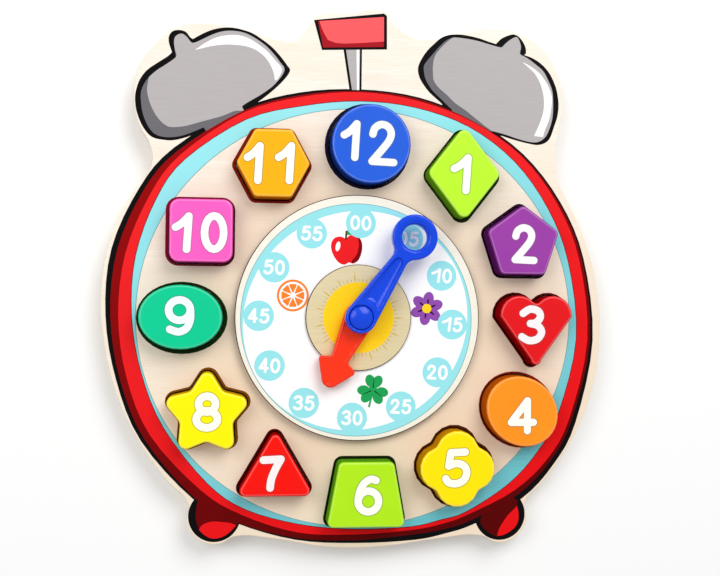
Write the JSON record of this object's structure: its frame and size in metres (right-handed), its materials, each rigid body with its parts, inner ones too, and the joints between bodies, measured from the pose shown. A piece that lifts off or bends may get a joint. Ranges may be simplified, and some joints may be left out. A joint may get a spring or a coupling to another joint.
{
  "type": "shape sorting clock",
  "caption": "Wooden alarm-clock puzzle board with shaped blocks that lift out of matching recesses and two clicking hands on a raised dial.",
  "frame": {"origin": "on the hands' axis, at the flat back face", "axes": "+Z out of the dial, +Y towards twelve o'clock, +X towards three o'clock"},
  "size_m": [0.2677, 0.2878, 0.0328],
  "materials": {
    "birch_plywood": "clear lacquer",
    "printed_plywood": "printed, clear lacquer",
    "white_dial": "white print, clear lacquer",
    "sun_wood": "clear lacquer",
    "blue_paint": "satin paint",
    "lime_paint": "satin paint",
    "purple_paint": "satin paint",
    "red_paint": "satin paint",
    "orange_paint": "satin paint",
    "yellow_paint": "satin paint",
    "leaf_paint": "satin paint",
    "scarlet_paint": "satin paint",
    "lemon_paint": "satin paint",
    "teal_paint": "satin paint",
    "pink_paint": "satin paint",
    "amber_paint": "satin paint",
    "blue_plastic": "moulded gloss",
    "red_plastic": "moulded gloss",
    "white_plastic": "plain",
    "steel": "plain"
  },
  "bodies": {
    "board": {"base_board": "birch_plywood", "front_board": "printed_plywood", "dial_plate": "white_dial", "sun_disc": "sun_wood", "pivot_post": "steel", "lower_washer": "white_plastic", "middle_washer": "white_plastic", "hour_click_spring": "steel", "minute_click_spring": "steel", "hub_cap": "blue_plastic"},
    "block_12_circle": {"block_12_circle": "blue_paint"},
    "block_01_rhombus": {"block_01_rhombus": "lime_paint"},
    "block_02_pentagon": {"block_02_pentagon": "purple_paint"},
    "block_03_heart": {"block_03_heart": "red_paint"},
    "block_04_oval": {"block_04_oval": "orange_paint"},
    "block_05_quatrefoil": {"block_05_quatrefoil": "yellow_paint"},
    "block_06_trapezoid": {"block_06_trapezoid": "leaf_paint"},
    "block_07_triangle": {"block_07_triangle": "scarlet_paint"},
    "block_08_star": {"block_08_star": "lemon_paint"},
    "block_09_ellipse": {"block_09_ellipse": "teal_paint"},
    "block_10_square": {"block_10_square": "pink_paint"},
    "block_11_hexagon": {"block_11_hexagon": "amber_paint"},
    "hour_hand": {"hour_hand": "red_plastic"},
    "minute_hand": {"minute_hand": "blue_plastic"}
  },
  "joints": [
    {"name": "block_12_circle_lift", "type": "slide", "parent": "board", "child": "block_12_circle", "axis": [0, 0, 1], "range_m": [0, 0.03]},
    {"name": "block_01_rhombus_lift", "type": "slide", "parent": "board", "child": "block_01_rhombus", "axis": [0, 0, 1], "range_m": [0, 0.03]},
    {"name": "block_02_pentagon_lift", "type": "slide", "parent": "board", "child": "block_02_pentagon", "axis": [0, 0, 1], "range_m": [0, 0.03]},
    {"name": "block_03_heart_lift", "type": "slide", "parent": "board", "child": "block_03_heart", "axis": [0, 0, 1], "range_m": [0, 0.03]},
    {"name": "block_04_oval_lift", "type": "slide", "parent": "board", "child": "block_04_oval", "axis": [0, 0, 1], "range_m": [0, 0.03]},
    {"name": "block_05_quatrefoil_lift", "type": "slide", "parent": "board", "child": "block_05_quatrefoil", "axis": [0, 0, 1], "range_m": [0, 0.03]},
    {"name": "block_06_trapezoid_lift", "type": "slide", "parent": "board", "child": "block_06_trapezoid", "axis": [0, 0, 1], "range_m": [0, 0.03]},
    {"name": "block_07_triangle_lift", "type": "slide", "parent": "board", "child": "block_07_triangle", "axis": [0, 0, 1], "range_m": [0, 0.03]},
    {"name": "block_08_star_lift", "type": "slide", "parent": "board", "child": "block_08_star", "axis": [0, 0, 1], "range_m": [0, 0.03]},
    {"name": "block_09_ellipse_lift", "type": "slide", "parent": "board", "child": "block_09_ellipse", "axis": [0, 0, 1], "range_m": [0, 0.03]},
    {"name": "block_10_square_lift", "type": "slide", "parent": "board", "child": "block_10_square", "axis": [0, 0, 1], "range_m": [0, 0.03]},
    {"name": "block_11_hexagon_lift", "type": "slide", "parent": "board", "child": "block_11_hexagon", "axis": [0, 0, 1], "range_m": [0, 0.03]},
    {"name": "hour_hand_turn", "type": "hinge", "parent": "board", "child": "hour_hand", "pos_m": [0, 0, 0.0199], "axis": [0, 0, 1], "continuous": true},
    {"name": "minute_hand_turn", "type": "hinge", "parent": "board", "child": "minute_hand", "pos_m": [0, 0, 0.0257], "axis": [0, 0, 1], "continuous": true}
  ]
}
